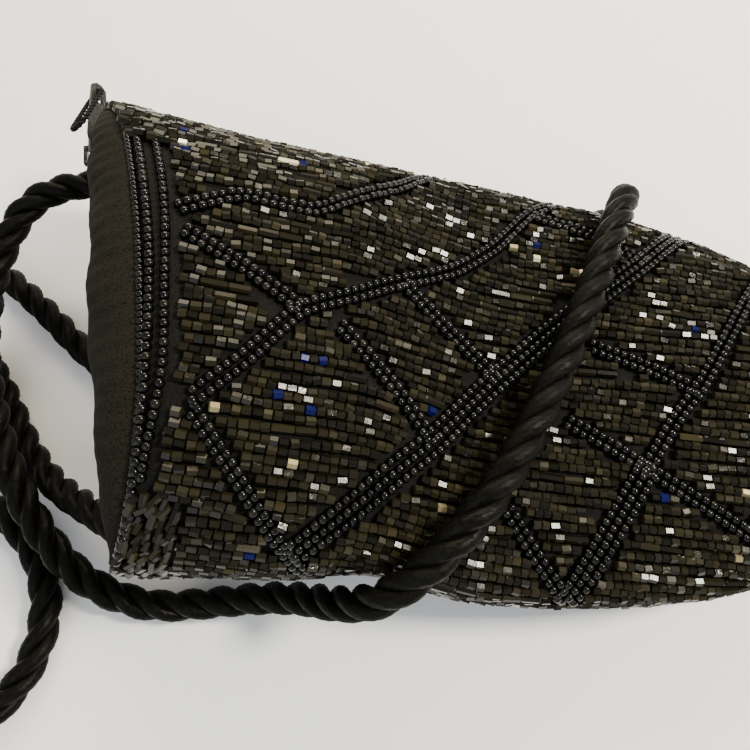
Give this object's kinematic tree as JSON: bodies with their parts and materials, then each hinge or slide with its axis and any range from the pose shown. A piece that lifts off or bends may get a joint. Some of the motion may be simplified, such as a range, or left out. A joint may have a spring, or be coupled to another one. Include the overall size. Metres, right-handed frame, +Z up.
{
  "type": "evening bag",
  "caption": "Soft zipped evening bag with a rounded bottom, covered in glass beads, lying on its back with a twisted rope strap and a zip slider that runs.",
  "frame": {"origin": "middle of the flat patch of the back panel that the bag rests on, at its underside", "axes": "+Z up, out of the front panel; +X from the zipped mouth to the rounded bottom; +Y to the side where the closed zip's slider is parked"},
  "size_m": [0.3564, 0.2034, 0.0763],
  "materials": {
    "beaded_fabric": "black two-cut glass beads sewn in rows on black fabric",
    "seed_beads": "glossy black round seed beads",
    "padding": "needled felt interlining",
    "lining": "black satin",
    "crepe": "matte black crepe",
    "zip_tape": "black woven tape",
    "zip_teeth": "black nylon",
    "zip_metal": "black enamel with worn edges",
    "loop_cord": "black waxed cord with small beads",
    "rope": "black satin twisted rope"
  },
  "bodies": {
    "bag": {"front_panel": "beaded_fabric", "back_panel": "beaded_fabric", "front_padding": "padding", "back_padding": "padding", "front_lining": "lining", "back_lining": "lining", "front_gusset": "crepe", "back_gusset": "crepe", "front_mouth_beads": "seed_beads", "back_mouth_beads": "seed_beads", "zip_tape_front": "zip_tape", "zip_tape_back": "zip_tape", "zip_teeth_front": "zip_teeth", "zip_teeth_back": "zip_teeth", "zip_top_stop": "zip_metal", "zip_bottom_stop": "zip_metal", "zip_end_patch_far": "crepe", "zip_end_patch_near": "crepe", "inner_pocket": "lining", "strap_end_far": "rope", "strap_end_near": "rope", "strap_cord": "rope"},
    "slider": {"slider_body": "zip_metal"},
    "tab": {"pull_tab": "zip_metal"},
    "loop": {"pull_loop": "loop_cord"}
  },
  "joints": [
    {"name": "zip_slide", "type": "slide", "parent": "bag", "child": "slider", "axis": [0.2756, -0.9613, 0], "range_m": [0, 0.105]},
    {"name": "tab_swing", "type": "hinge", "parent": "slider", "child": "tab", "pos_m": [-0.1282, 0.05096, 0.044], "axis": [0, 0, 1], "range_deg": [0, 150]},
    {"name": "loop_swing", "type": "hinge", "parent": "tab", "child": "loop", "pos_m": [-0.13439, 0.07404, 0.044], "axis": [0.8008, 0.2146, 0.5592], "range_deg": [-150, 5]}
  ]
}
